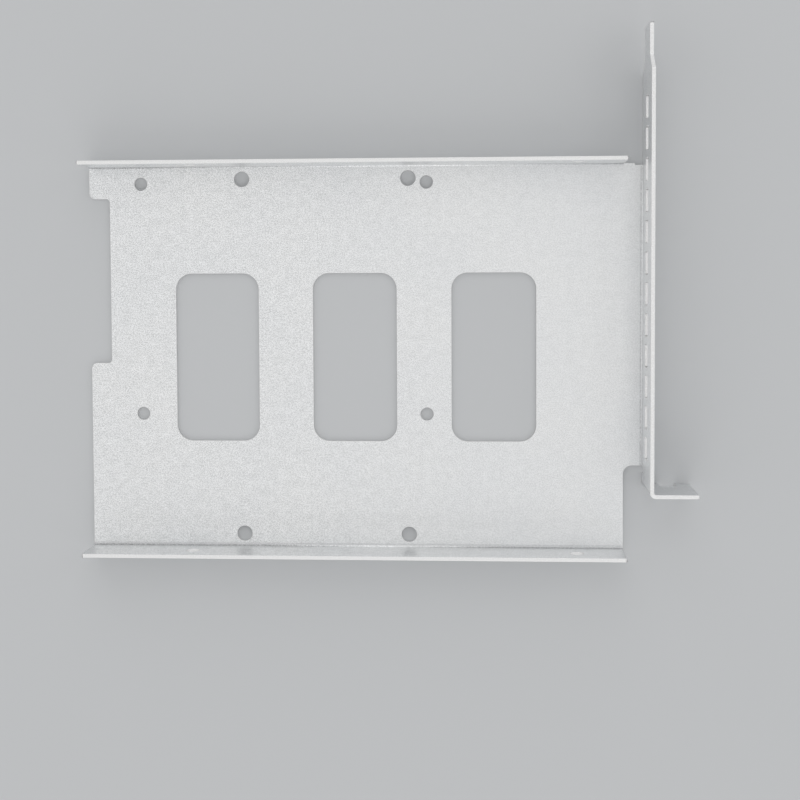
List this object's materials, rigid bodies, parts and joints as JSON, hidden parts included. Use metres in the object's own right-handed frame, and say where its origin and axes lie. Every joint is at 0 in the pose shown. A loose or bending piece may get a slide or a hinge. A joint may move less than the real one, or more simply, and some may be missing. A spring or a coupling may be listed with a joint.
{
  "type": "hard drive mounting bracket",
  "caption": "Folded sheet-steel tray that holds a 3.5-inch or 2.5-inch drive between two flanges and fixes it to a computer's expansion slot with a vented slot cover.",
  "frame": {"origin": "middle of the four 3.5-inch drive holes, on the plate's inner face, where the drive lies", "axes": "+X along the drive towards the slot cover, +Y across the drive towards the slot cover's tongue, +Z out of the plate's inner face, the way the flanges fold"},
  "size_m": [0.1599, 0.1374, 0.0184],
  "materials": {
    "galvanised_sheet": "matt zinc-coated sheet with bare cut edges"
  },
  "bodies": {
    "root": {"mounting_bracket": "galvanised_sheet"}
  },
  "joints": []
}
